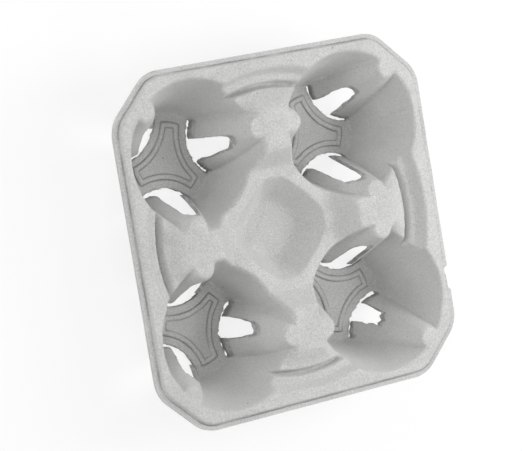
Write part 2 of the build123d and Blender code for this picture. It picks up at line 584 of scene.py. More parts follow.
    def cut(self) -> tuple[np.ndarray, np.ndarray]:
        """Cuts one layer of the sheet from a fine square mesh.

        Returns:
            The plan points in millimetres, and the triangles between them.
        """
        inner = self.sizes.half_side - self.rim_zone
        border = np.linspace(inner, self.sizes.half_side, self.rim_cells + 1)[1:]
        steps = np.concatenate([-border[::-1], np.linspace(-inner, inner, self.cells + 1), border])
        cell = 2 * inner / self.cells
        x, y = (a.ravel() for a in np.meshgrid(steps, steps, indexing="ij"))
        reach = cell * self.slope_share
        for _ in range(self.snap_rounds):
            gap = self.outside(x, y)
            slope_x = (self.outside(x + reach, y) - self.outside(x - reach, y)) / (2 * reach)
            slope_y = (self.outside(x, y + reach) - self.outside(x, y - reach)) / (2 * reach)
            steep = np.maximum(slope_x**2 + slope_y**2, self.least_steep)
            near = np.abs(gap) < cell * self.snap_share
            x = np.where(near, x - gap * slope_x / steep, x)
            y = np.where(near, y - gap * slope_y / steep, y)
        x = np.clip(x, -self.sizes.half_side, self.sizes.half_side)
        y = np.clip(y, -self.sizes.half_side, self.sizes.half_side)
        gap = self.outside(x, y)
        gap[np.abs(gap) < cell * self.touch_share] = 0.0
        return self.trim(np.stack([x, y], axis=1), gap)

    def trim(self, points: np.ndarray, gap: np.ndarray) -> tuple[np.ndarray, np.ndarray]:
        """Trims the square mesh along the line where the distance is zero.

        Args:
            points: Plan points of the square mesh.
            gap: Distance of each point outside the sheet.

        Returns:
            The points that are used, and the triangles between them.
        """
        triangles = self.square_mesh()
        value = gap[triangles]
        whole = triangles[(value <= 0).all(1) & (value < 0).any(1)]
        flat = triangles[(value == 0).all(1)]
        middle = points[flat].mean(1)
        kept = flat[self.outside(middle[:, 0], middle[:, 1]) < 0]
        crossed = triangles[(value < 0).any(1) & (value > 0).any(1)]
        found = list(points)
        made: dict[tuple[int, int], int] = {}
        pieces: list[tuple[int, int, int]] = []
        for corner in crossed.tolist():
            ring: list[int] = []
            for a, b in zip(corner, corner[1:] + corner[:1]):
                if gap[a] <= 0:
                    ring.append(a)
                if gap[a] * gap[b] < 0:
                    key = (min(a, b), max(a, b))
                    if key not in made:
                        share = gap[key[0]] / (gap[key[0]] - gap[key[1]])
                        made[key] = len(found)
                        found.append(points[key[0]] * (1 - share) + points[key[1]] * share)
                    ring.append(made[key])
            pieces += [(ring[0], ring[k], ring[k + 1]) for k in range(1, len(ring) - 1)]
        faces = np.concatenate([whole, kept, np.array(pieces, int).reshape(-1, 3)])
        used, places = np.unique(faces, return_inverse=True)
        return np.array(found)[used], places.reshape(-1, 3)

    def square_mesh(self) -> np.ndarray:
        """Triangles of the square mesh, their diagonals turned every other cell.

        Returns:
            Point numbers, three for each triangle.
        """
        n = self.cells + 2 * self.rim_cells
        i, j = (a.ravel() for a in np.meshgrid(np.arange(n), np.arange(n), indexing="ij"))
        a = i * (n + 1) + j
        b, c, d = a + n + 1, a + n + 2, a + 1
        even = ((i + j) % 2 == 0)[:, None]
        first = np.where(even, np.stack([a, b, c], 1), np.stack([a, b, d], 1))
        second = np.where(even, np.stack([a, c, d], 1), np.stack([b, c, d], 1))
        return np.concatenate([first, second])

    def mesh(self) -> bpy.types.Mesh:
        """The two joined layers, with the distances that the press needs.

        Returns:
            A closed flat mesh in metres.
        """
        points, faces = self.cut()
        count = len(points)
        sides = np.concatenate([faces[:, [0, 1]], faces[:, [1, 2]], faces[:, [2, 0]]])
        _, first, uses = np.unique(edge_keys(sides, count), return_index=True, return_counts=True)
        rim = sides[first[uses == 1]]
        walls = np.stack([rim[:, 0], rim[:, 0] + count, rim[:, 1] + count, rim[:, 1]], 1)
        plan = np.zeros((2 * count, 3))
        plan[:, :2] = np.concatenate([points, points]) * MILLIMETRE
        polygons = faces.tolist() + (faces[:, ::-1] + count).tolist() + walls.tolist()
        mesh = bpy.data.meshes.new("pulp_blank")
        mesh.from_pydata(plan.tolist(), [], polygons)
        mesh.update()
        x, y = points[:, 0], points[:, 1]
        self.note(mesh, "lower_face", np.repeat([0.0, 1.0], count))
        self.note(mesh, "edge_distance", np.tile(self.edge_distance(x, y), 2))
        self.note(mesh, "bead_distance", np.tile(self.bead_distance(x, y), 2))
        self.note(mesh, "torn_distance", np.tile(self.opening_distance(x, y), 2))
        on_rim = np.zeros(count)
        on_rim[rim.ravel()] = 1.0
        torn = on_rim * (self.edge_distance(x, y) > self.sizes.lip_width)
        self.note(mesh, "torn_edge", np.concatenate([torn, torn]))
        ends = np.empty(len(mesh.edges) * 2, int)
        mesh.edges.foreach_get("vertices", ends)
        rims = np.concatenate([rim, rim + count])
        sharp = np.isin(edge_keys(ends.reshape(-1, 2), 2 * count), edge_keys(rims, 2 * count))
        crease = mesh.attributes.new("sharp_edge", "BOOLEAN", "EDGE")
        crease.data.foreach_set("value", sharp)
        return mesh

    @staticmethod
    def note(mesh: bpy.types.Mesh, name: str, values: np.ndarray) -> None:
        """Keeps one number for each point of a mesh, as a named attribute."""
        attribute = mesh.attributes.new(name, "FLOAT", "POINT")
        attribute.data.foreach_set("value", values.astype(np.float32))


def add_object(name: str, data: bpy.types.ID) -> bpy.types.Object:
    """Adds an object to the scene.

    Args:
        name: Name of the object.
        data: Its mesh, lamp or camera.

    Returns:
        The object, at the origin.
    """
    made = bpy.data.objects.new(name, data)
    bpy.context.scene.collection.objects.link(made)
    return made


class TreeKit:
    """A Geometry Nodes tree with named inputs, and short ways to add its nodes."""

    def __init__(self, name: str, sizes: dict[str, float]) -> None:
        """Makes the tree with a geometry input and one input for each size.

        Args:
            name: Name of the tree.
            sizes: Names and values of the other inputs.
        """
        self.tree = bpy.data.node_groups.new(name, "GeometryNodeTree")
        face = self.tree.interface
        face.new_socket("Geometry", in_out="INPUT", socket_type="NodeSocketGeometry")
        face.new_socket("Geometry", in_out="OUTPUT", socket_type="NodeSocketGeometry")
        self.settings: dict[str, float] = {}
        self.titles: dict[str, str] = {}
        for key, value in sizes.items():
            title = key.replace("_", " ").title()
            socket = face.new_socket(title, in_out="INPUT", socket_type="NodeSocketFloat")
            self.settings[socket.identifier] = value
            self.titles[key] = title
        self.start = self.tree.nodes.new("NodeGroupInput")
        self.end = self.tree.nodes.new("NodeGroupOutput")

    def node(self, kind: str, **values: object) -> bpy.types.Node:
        """Adds a node and sets its own properties.

        Args:
            kind: The node's type.
            values: Properties of the node by name.

        Returns:
            The node.
        """
        made = self.tree.nodes.new(kind)
        for name, value in values.items():
            setattr(made, name, value)
        return made

    def link(self, source: bpy.types.NodeSocket, target: bpy.types.NodeSocket) -> None:
        """Joins an output to an input."""
        self.tree.links.new(source, target)

    def size(self, key: str) -> Field:
        """One of the tree's named inputs."""
        return Field(self.tree, self.start.outputs[self.titles[key]])

    def attribute(self, name: str) -> Field:
        """A number kept on the mesh's points.

        Args:
            name: Name of the attribute.

        Returns:
            The number.
        """
        node = self.node("GeometryNodeInputNamedAttribute", data_type="FLOAT")
        node.inputs["Name"].default_value = name
        return Field(self.tree, node.outputs["Attribute"])

    def noise(self, scale: float, detail: float) -> Field:
        """Noise by position.

        Args:
            scale: Cells per metre.
            detail: Octaves of finer noise.

        Returns:
            Numbers from about 0 to 1.
        """
        node = self.node("ShaderNodeTexNoise")
        node.inputs["Scale"].default_value = scale
        node.inputs["Detail"].default_value = detail
        self.link(self.node("GeometryNodeInputPosition").outputs[0], node.inputs["Vector"])
        return Field(self.tree, node.outputs[0])

    def close(self, geometry: bpy.types.NodeSocket, material: bpy.types.Material) -> None:
        """Ends the tree by realizing instances and setting the material.

        Args:
            geometry: Output that carries the finished geometry.
            material: Material of all its faces.
        """
        realize = self.node("GeometryNodeRealizeInstances")
        dress = self.node("GeometryNodeSetMaterial")
        dress.inputs["Material"].default_value = material
        self.link(geometry, realize.inputs["Geometry"])
        self.link(realize.outputs["Geometry"], dress.inputs["Geometry"])
        self.link(dress.outputs["Geometry"], self.end.inputs["Geometry"])

    def run(self, piece: bpy.types.Object) -> None:
        """Runs the tree on an object and keeps its result as a plain mesh.

        Args:
            piece: The object, at the origin.
        """
        modifier = piece.modifiers.new(self.tree.name, "NODES")
        modifier.node_group = self.tree
        for identifier, value in self.settings.items():
            modifier[identifier] = value
        graph = bpy.context.evaluated_depsgraph_get()
        made = bpy.data.meshes.new_from_object(
            piece.evaluated_get(graph), preserve_all_data_layers=True, depsgraph=graph
        )
        piece.modifiers.clear()
        piece.data = made
        made.name = piece.name


class PressRule:
    """The rule that gives every point of the blank its height, as a Geometry Nodes tree."""

    INPUTS = (
        "height",
        "wall",
        "lip_drop",
        "floor_radius",
        "fin_foot_radius",
        "bead_height",
        "saddle_drop",
        "groove_depth",
        "band_drop",
        "pocket_depth",
    )

    def __init__(self, sizes: TraySizes, soft: Softness, uneven: Unevenness) -> None:
        """Sets up the tree and the numbers that all surfaces share.

        Args:
            sizes: The tray's sizes.
            soft: How widely its surfaces run into one another.
            uneven: What drying leaves in its faces.
        """
        self.sizes = sizes
        self.soft = soft
        self.uneven = uneven
        self.kit = TreeKit("press_tray", {name: getattr(sizes, name) for name in self.INPUTS})
        place = self.kit.node("GeometryNodeInputPosition")
        split = self.kit.node("ShaderNodeSeparateXYZ")
        self.kit.link(place.outputs[0], split.inputs[0])
        self.plan = split
        x = Field(self.kit.tree, split.outputs["X"]).size() / MILLIMETRE
        y = Field(self.kit.tree, split.outputs["Y"]).size() / MILLIMETRE
        self.far = x.higher_of(y)
        self.near = x.lower_of(y)
        self.radius = length_of(x, y)
        self.lower = self.kit.attribute("lower_face")
        self.back = self.lower * self.size("wall")

    def size(self, name: str) -> Field:
        """One of the tray's sizes, as a field."""
        return self.kit.size(name)

    def level(self, *drops: str) -> Field:
        """Height of both faces below the rim's top.

        Args:
            drops: Names of the sizes by which they lie lower.

        Returns:
            The height, less the wall on the lower face.
        """
        level = self.size("height") - self.back
        for name in drops:
            level = level - self.size(name)
        return level

    def set_back(self, slope: float) -> Field:
        """Sideways part of setting a wall back, for its run per unit of drop."""
        return self.back * (math.hypot(1, slope) - slope)

    def rim(self) -> Field:
        """Height of the lip, its step and the flat rim.

        Returns:
            The height on both faces, in millimetres.
        """
        s = self.sizes
        inset = self.kit.attribute("edge_distance") - self.set_back(s.step_run / s.lip_drop)
        soft = self.soft.step
        rise = inset.ramp(s.lip_width - soft, s.lip_width + s.step_run + soft)
        return self.level() - self.size("lip_drop") * (1.0 - rise)

    def well(self) -> Field:
        """Height of a well's leaning wall and its floor.

        Returns:
            The height on both faces, in millimetres.
        """
        s = self.sizes
        across = self.far - s.floor_centre
        along = self.near - s.floor_centre
        radius = self.back * math.hypot(1, s.well_flare) + self.size("floor_radius")
        widen = s.well_flare**2 - 2 * s.lean**2
        drift = radius * s.well_flare + (across + along) * s.lean
        gap = across * across + along * along - radius * radius
        climb = ((drift * drift + gap * widen).root() - drift) / widen
        floor = self.back * -1.0
        return climb.higher_of(floor, self.soft.well_floor) + self.size("wall")

    def fin(self, place: FinPlace) -> Field:
        """Height of one fin of the nearest well.

        Args:
            place: Which fin it is.

        Returns:
            The height, which falls off all round the fin.
        """
        s = self.sizes
        cx, cy = s.fin_centre(place)
        across, along = self.far - cx, self.near - cy
        radius = self.size("fin_foot_radius") - self.back * math.hypot(1, s.fin_taper)
        narrow = s.fin_taper**2 - 2 * s.lean**2
        drift = radius * s.fin_taper - (across + along) * s.lean
        gap = radius * radius - across * across - along * along
        climb = (drift - (drift * drift - gap * narrow).root()) / narrow
        return (climb + self.size("wall")).lower_of(self.level(), self.soft.fin_top)

    def basin(self) -> Field:
        """Height of the round dip that lowers the saddles.

        Returns:
            The height on both faces, in millimetres.
        """
        s = self.sizes
        slope = s.saddle_run / s.saddle_drop
        middle = (s.basin_inner + s.basin_outer) / 2
        half = self.set_back(slope) + (s.basin_outer - s.basin_inner) / 2
        out = ((self.radius - middle).size() - half) / slope
        return out.higher_of(0.0, self.soft.saddle) + self.level("saddle_drop")

    def groove(self) -> Field:
        """Height of the arc-shaped channel across the saddles.

        Returns:
            The height on both faces, in millimetres.
        """
        s = self.sizes
        slope = s.groove_run / s.groove_depth
        middle = s.groove_inner + s.groove_width / 2
        half = self.set_back(slope) + (s.groove_width / 2 - s.groove_run)
        out = ((self.radius - middle).size() - half) / slope
        return out.higher_of(0.0, self.soft.groove) + self.level("saddle_drop", "groove_depth")

    def band(self) -> Field:
        """Height of the level band and the ramps that lead to it.

        Returns:
            The height on both faces, in millimetres.
        """
        s = self.sizes
        slope = s.band_run / s.band_drop
        out = (self.far - s.band_half - self.set_back(slope)) / slope
        return out.higher_of(0.0, self.soft.band) + self.level("band_drop")

    def pocket(self) -> Field:
        """Height of the eight-sided pocket.

        Returns:
            The height on both faces, in millimetres.
        """
        s = self.sizes
        slope = s.pocket_run / s.pocket_depth
        reach = self.set_back(slope) + (s.pocket_reach - s.pocket_run)
        near = (self.near * self.near + self.soft.pocket_axis**2).root()
        slanted = (self.far + near) / math.sqrt(2) - reach
        straight = self.far - reach - s.pocket_bulge
        out = slanted.higher_of(straight, self.soft.pocket_corner) / slope
        return out.higher_of(0.0, self.soft.pocket) + self.level("band_drop", "pocket_depth")

    def spine(self) -> Field:
        """Height of the level ridge that runs out over a saddle.

        Returns:
            The height on both faces, in millimetres.
        """
        s = self.sizes
        side_slope, end_slope = s.spine_flare / s.saddle_drop, s.spine_run / s.saddle_drop
        beside = (self.near - s.spine_width / 2 + self.set_back(side_slope)) / side_slope
        beyond = (self.far - s.post_reach - s.spine_reach + self.set_back(end_slope)) / end_slope
        short = (s.post_reach - self.far) * s.spine_back_slope
        drop = beside.higher_of(beyond, self.soft.spine).higher_of(0.0, self.soft.spine)
        return self.level() - drop - short.higher_of(0.0)

    def bead(self) -> Field:
        """Height that the bead adds to the floor's upper face.

        Returns:
            The added height, in millimetres.
        """
        away, half = self.kit.attribute("bead_distance").size(), self.sizes.bead_width / 2
        swell = 1.0 - away.ramp(half - self.soft.bead, half)
        return swell * self.size("bead_height") * (1.0 - self.lower)

    def height(self) -> Field:
        """Height of the whole tray, from all its surfaces.

        Returns:
            The height on both faces, in millimetres.
        """
        soft, uneven = self.soft, self.uneven
        deck = self.rim().lower_of(self.basin(), soft.saddle)
        deck = deck.lower_of(self.band(), soft.band).lower_of(self.pocket(), soft.saddle)
        deck = deck.higher_of(self.spine(), soft.spine).lower_of(self.groove(), soft.groove)
        well = self.well()
        outward = self.radius.ramp(soft.neck_end, soft.rim_start)
        rounding = outward * (soft.rim - soft.neck) + soft.neck
        level = deck.lower_of(well, rounding)
        over = (well - deck).ramp(0.0, soft.fin_change)
        blend = over * (soft.fin_saddle - soft.fin_side) + soft.fin_side
        level = level.higher_of(self.fin(FinPlace.CORNER), blend)
        level = level.higher_of(self.fin(FinPlace.RIGHT), blend)
        level = level + self.bead()
        waves = self.kit.noise(uneven.wave_scale, uneven.detail) - NOISE_MIDDLE
        lumps = self.kit.noise(uneven.lump_scale, uneven.detail) - NOISE_MIDDLE
        level = level + (waves * uneven.wave_height + lumps * uneven.lump_height)
        return level.higher_of(0.0).lower_of(self.level(), soft.top)

    def press(self, piece: bpy.types.Object, material: bpy.types.Material) -> None:
        """Presses the blank that an object holds.

        Args:
            piece: Object with the flat blank.
            material: Material of the pressed tray.
        """
        kit = self.kit
        place = kit.node("ShaderNodeCombineXYZ")
        kit.link(self.plan.outputs["X"], place.inputs["X"])
        kit.link(self.plan.outputs["Y"], place.inputs["Y"])
        kit.link((self.height() * MILLIMETRE).socket, place.inputs["Z"])
        lift = kit.node("GeometryNodeSetPosition")
        kit.link(kit.start.outputs["Geometry"], lift.inputs["Geometry"])
        kit.link(place.outputs[0], lift.inputs["Position"])
        kit.close(lift.outputs["Geometry"], material)
        kit.run(piece)


class PulpScale(Enum):
    """How fine the patterns of the pulp are, in cells per metre."""

    CLOUD = 38.0
    SCREEN_PATCH = 55.0
    LINE_WEAR = 70.0
    FLECK = 170.0
    TORN_PATCH = 240.0
    MOTTLE = 260.0
    HAIR_PATCH = 320.0
    LUMP = 420.0
    HAIR = 900.0
    GRAIN = 950.0
    FINE_GRAIN = 1800.0


class ShaderKit:
    """A material's or shader group's node tree, with short ways to add its nodes."""

    def __init__(self, tree: bpy.types.NodeTree) -> None:
        """Takes the tree that the nodes go into."""
        self.tree = tree

    def node(self, kind: str, **values: object) -> bpy.types.Node:
        """Adds a node and sets its inputs by name.

        Args:
            kind: The node's type.
            values: Values of inputs, with spaces in their names as underscores.

        Returns:
            The node.
        """
        made = self.tree.nodes.new(kind)
        for name, value in values.items():
            target = made.inputs[name.replace("_", " ")]
            if isinstance(value, Field):
                self.tree.links.new(value.socket, target)
            elif isinstance(value, bpy.types.NodeSocket):
                self.tree.links.new(value, target)
            else:
                target.default_value = value
        return made

    def field(self, socket: bpy.types.NodeSocket) -> Field:
        """A node's output as a number to work with."""
        return Field(self.tree, socket)

    def place(self) -> bpy.types.NodeSocket:
        """Object coordinates of the surface, in metres."""
        return self.tree.nodes.new("ShaderNodeTexCoord").outputs["Object"]

    def attribute(self, name: str) -> Field:
        """A number kept on the mesh's points.

        Args:
            name: Name of the attribute.

        Returns:
            The number.
        """
        node = self.tree.nodes.new("ShaderNodeAttribute")
        node.attribute_name = name
        return self.field(node.outputs["Fac"])

    def noise(
        self,
        scale: PulpScale,
        detail: float,
        stretch: tuple[float, float, float] = (1.0, 1.0, 1.0),
    ) -> Field:
        """Noise over the surface.

        Args:
            scale: Which of the pulp's patterns it is for.
            detail: Octaves of finer noise.
            stretch: Scale along X, Y and Z.

        Returns:
            Numbers from about 0 to 1.
        """
        place = self.node("ShaderNodeMapping", Vector=self.place(), Scale=stretch).outputs[0]
        made = self.node("ShaderNodeTexNoise", Vector=place, Scale=scale.value, Detail=detail)
        return self.field(made.outputs[0])

    def effect(self, group: bpy.types.NodeTree, **values: float) -> dict[str, Field]:
        """Places a shader group and sets its inputs.

        Args:
            group: The group.
            values: Values of inputs, with spaces in their names as underscores.

        Returns:
            The group's outputs by name.
        """
        made = self.tree.nodes.new("ShaderNodeGroup")
        made.node_tree = group
        for name, value in values.items():
            made.inputs[name.replace("_", " ")].default_value = value
        return {socket.name: self.field(socket) for socket in made.outputs}

    def show(self, seen: bpy.types.Node, rest: bpy.types.Node, share: float) -> bpy.types.Node:
        """Mixes two shaders, one of them only for what the camera sees directly.

        Args:
            seen: Shader that only the camera sees.
            rest: Shader that also lights the object.
            share: Share of the first in what the camera sees.

        Returns:
            The mix.
        """
        direct = self.node("ShaderNodeLightPath").outputs["Is Camera Ray"]
        mix = self.node("ShaderNodeMixShader", Fac=self.field(direct) * share)
        self.tree.links.new(rest.outputs[0], mix.inputs[1])
        self.tree.links.new(seen.outputs[0], mix.inputs[2])
        return mix


class GroupKit(ShaderKit):
    """A shader node group with named sockets, while it is built."""

    def __init__(self, name: str, **inputs: float) -> None:
        """Makes the group and its inputs.

        Args:
            name: Name of the group.
            inputs: Default values of its inputs, with spaces in their names as underscores.
        """
        super().__init__(bpy.data.node_groups.new(name, "ShaderNodeTree"))
        for key, value in inputs.items():
            self.socket(key.replace("_", " "), "INPUT").default_value = value
        self.start = self.tree.nodes.new("NodeGroupInput")

    def socket(self, title: str, side: str) -> bpy.types.NodeTreeInterfaceSocket:
        """Adds a socket for a number to the group."""
        return self.tree.interface.new_socket(title, in_out=side, socket_type="NodeSocketFloat")

    def given(self, title: str) -> Field:
        """One of the group's inputs."""
        return self.field(self.start.outputs[title])

    def close(self, **results: Field) -> bpy.types.NodeTree:
        """Ends the group.

        Args:
            results: The numbers that it puts out, by the names of its outputs.

        Returns:
            The group.
        """
        for title in results:
            self.socket(title, "OUTPUT")
        self.node("NodeGroupOutput", **results)
        return self.tree


def empty_tree(owner: bpy.types.Material | bpy.types.World) -> ShaderKit:
    """Clears the nodes of a material or a world.

    Args:
        owner: What the nodes belong to.

    Returns:
        Short ways to add its new nodes.
    """
    owner.use_nodes = True
    owner.node_tree.nodes.clear()
    return ShaderKit(owner.node_tree)


class PulpEffects:
    """Shader groups that the pulp materials share, each built once."""

    def __init__(self) -> None:
        """Builds the groups."""
        self.felt = self.build_felt()
        self.screen = self.build_screen()
        self.flecks = self.build_flecks()
        self.lines = self.build_shade_lines()

    @staticmethod
    def build_felt() -> bpy.types.NodeTree:
        """Matted fibres: cloudy tone, fine grain, pale hairs, and their relief.

        Returns:
            A group with the outputs Cloud, Grain, Hairs and Relief.
        """
        kit = GroupKit("felted_fibres", Hair_Share=0.5)
        cloud = kit.noise(PulpScale.CLOUD, 4.0) * 0.6 + kit.noise(PulpScale.MOTTLE, 3.0) * 0.4
        hair_width = 0.045
        strands: list[Field] = []
        for stretch in ((0.35, 1.0, 1.0), (1.0, 0.35, 0.7), (0.8, 0.8, 0.3)):
            ridge = (kit.noise(PulpScale.HAIR, 1.5, stretch) - NOISE_MIDDLE).size()
            strands.append(1.0 - ridge.ramp(0.0, hair_width))
        hairs = strands[0].higher_of(strands[1]).higher_of(strands[2])
        patches = kit.noise(PulpScale.HAIR_PATCH, 1.0).ramp(0.45, 0.65)
        hairs = hairs * patches * kit.given("Hair Share")
        fine = kit.noise(PulpScale.GRAIN, 2.0)
        grain = fine * 0.5 + kit.noise(PulpScale.FINE_GRAIN, 1.0) * 0.5
        relief = kit.noise(PulpScale.LUMP, 3.0) * 0.5 + fine * 0.4 + hairs * 0.25
        return kit.close(Cloud=cloud, Grain=grain, Hairs=hairs, Relief=relief)

    @staticmethod
    def build_screen() -> bpy.types.NodeTree:
        """Imprint of the forming screen on the flatter faces.

        Returns:
            A group with the output Relief.
        """
        kit = GroupKit("screen_imprint", Pitch=0.00125)
        split = kit.node("ShaderNodeSeparateXYZ", Vector=kit.place())
        pitch = kit.given("Pitch")
        across = (kit.field(split.outputs["X"]) * math.tau / pitch).step(MathStep.SINE)
        along = (kit.field(split.outputs["Y"]) * math.tau / pitch).step(MathStep.SINE)
        patches = kit.noise(PulpScale.SCREEN_PATCH, 2.0).ramp(0.38, 0.62)
        return kit.close(Relief=across * along * patches)

    @staticmethod
    def build_flecks() -> bpy.types.NodeTree:
        """Scattered dark specks of print and bark.

        Returns:
            A group with the output Mask.
        """
        kit = GroupKit("pulp_flecks", Share=0.06)
        cells = kit.node(
            "ShaderNodeTexVoronoi", Vector=kit.place(), Scale=PulpScale.FLECK.value, Randomness=1.0
        )
        chance = kit.node("ShaderNodeSeparateXYZ", Vector=cells.outputs["Color"])
        chosen = kit.given("Share") - kit.field(chance.outputs["X"])
        least, spread, soft = 0.03, 0.07, 0.03
        size = kit.field(chance.outputs["Y"]) * spread + least
        inside = (size - kit.field(cells.outputs["Distance"])).ramp(0.0, soft)
        return kit.close(Mask=inside * chosen.step(MathStep.GREATER, 0.0))

    @staticmethod
    def build_shade_lines() -> bpy.types.NodeTree:
        """Painted shade in crisp dark lines along the floor beads, the rim's step and the torn
        openings.

        Returns:
            A group with the outputs Mask, the painted shade, and Relief, the beads' swell and the
            step's dip.
        """
        kit = GroupKit("mould_line_shade", Bead_Width=0.0, Step_Place=0.0)
        upper = 1.0 - kit.attribute("lower_face")
        inside = kit.given("Bead Width") / 2.0 - kit.attribute("bead_distance").size()
        faintest = 0.3
        # Noise that thins and breaks the painted shade lines at random
        line_breaks = kit.noise(PulpScale.LINE_WEAR, 3.0).ramp(0.3, 0.6) * (1.0 - faintest) + faintest
        # Painted shade: a dark line along each edge of the floor's bead
        bead_edge_shade = (1.0 - inside.size().ramp(0.15, 0.9)) * line_breaks
        step = kit.attribute("edge_distance") - kit.given("Step Place")
        # Painted shade: a dark line along the rim's step, which also dips the relief there
        step_shade_line = (1.0 - step.size().ramp(0.1, 0.7)) * line_breaks
        # Painted shade: dark patches along the torn openings' edges
        torn_edge_shade = 1.0 - kit.attribute("torn_distance").size().ramp(0.1, 1.0)
        torn_edge_shade = torn_edge_shade * kit.noise(PulpScale.TORN_PATCH, 2.0).ramp(0.38, 0.55)
        # All three lines darken the colour as painted shade
        painted_lines = bead_edge_shade * upper + step_shade_line * 1.3 + torn_edge_shade
        relief = inside.ramp(-0.1, 0.35) * upper - step_shade_line * 0.5
        return kit.close(Mask=painted_lines, Relief=relief)


@dataclass(frozen=True)
class PulpFinish:
    """Grey recycled pulp: matt, felted and slightly uneven in tone, with painted shade lines along
    its beads, rim step and torn openings.
    """

    name: str
    tone: tuple[float, float, float]
    cloud_depth: float = 0.16
    grain_depth: float = 0.60
    hair_share: float = 0.5
    hair_depth: float = 0.06
    fleck_share: float = 0.09
    fleck_depth: float = 0.55
    shade_line_depth: float = 0.30
    relief_height: float = 0.00060
    screen_height: float = 0.00010
    line_height: float = 0.00050
    roughness: float = 0.88
    roughness_spread: float = 0.12
    specular: float = 0.2

    def material(self, effects: PulpEffects, sizes: TraySizes) -> bpy.types.Material:
        """Builds the finish as a material.

        Args:
            effects: The shared shader groups.
            sizes: The tray's sizes, for the places of its painted shade lines.

        Returns:
            The material.
        """
        made = bpy.data.materials.new(self.name)
        kit = empty_tree(made)
        felt = kit.effect(effects.felt, Hair_Share=self.hair_share)
        flecks = kit.effect(effects.flecks, Share=self.fleck_share)
        screen = kit.effect(effects.screen)
        lines = kit.effect(effects.lines, Bead_Width=sizes.bead_width, Step_Place=sizes.lip_width)
        normal = kit.node("ShaderNodeNewGeometry").outputs["Normal"]
        facing = kit.node("ShaderNodeSeparateXYZ", Vector=normal).outputs["Z"]
        upright = kit.field(facing).ramp(0.2, 1.0)
        cloud = (felt["Cloud"] - NOISE_MIDDLE) * self.cloud_depth + 1.0
        grain = (felt["Grain"] - NOISE_MIDDLE) * self.grain_depth * (upright + 1.0)
        shade = cloud + grain + felt["Hairs"] * self.hair_depth
        shade = shade * (1.0 - flecks["Mask"] * self.fleck_depth)
        # Painted shade: darkens the colour along the beads, the rim's step and the torn openings
        shade = shade * (1.0 - lines["Mask"] * self.shade_line_depth)
        tint = kit.node("ShaderNodeVectorMath", Vector=self.tone)
        tint.operation = "SCALE"
        kit.tree.links.new(shade.socket, tint.inputs["Scale"])
        height = felt["Relief"] * self.relief_height
        height = height + screen["Relief"] * upright * self.screen_height
        height = height + lines["Relief"] * self.line_height
        bump = kit.node("ShaderNodeBump", Strength=1.0, Distance=1.0, Height=height)
        smoothest = self.roughness - self.roughness_spread / 2
        shader = kit.node(
            "ShaderNodeBsdfPrincipled",
            Base_Color=tint.outputs[0],
            Roughness=felt["Cloud"] * self.roughness_spread + smoothest,
            Specular_IOR_Level=self.specular,
            Normal=bump.outputs[0],
        )
        kit.node("ShaderNodeOutputMaterial", Surface=shader.outputs[0])
        return made


@dataclass
class PulpTray:
    """The pressed tray itself, which stands for the CAD shell."""

    sizes: TraySizes
    soft: Softness
    finish: PulpFinish
    piece: bpy.types.Object | None = None

    def build(self, effects: PulpEffects) -> bpy.types.Object:
        """Cuts the blank and presses it.

        Args:
            effects: The shared shader groups.

        Returns:
            The tray's object.
        """
        blank = PulpBlank(self.sizes).mesh()
        self.piece = add_object("pulp_tray_shell", blank)
        material = self.finish.material(effects, self.sizes)
        PressRule(self.sizes, self.soft, Unevenness()).press(self.piece, material)
        mesh = self.piece.data
        mesh.polygons.foreach_set("use_smooth", np.ones(len(mesh.polygons), bool))
        mesh.update()
        return self.piece

    def seat(self) -> None:
        """Puts the tray in the place of the CAD shell."""
        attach(self.piece, "root")
        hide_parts("pulp_tray")


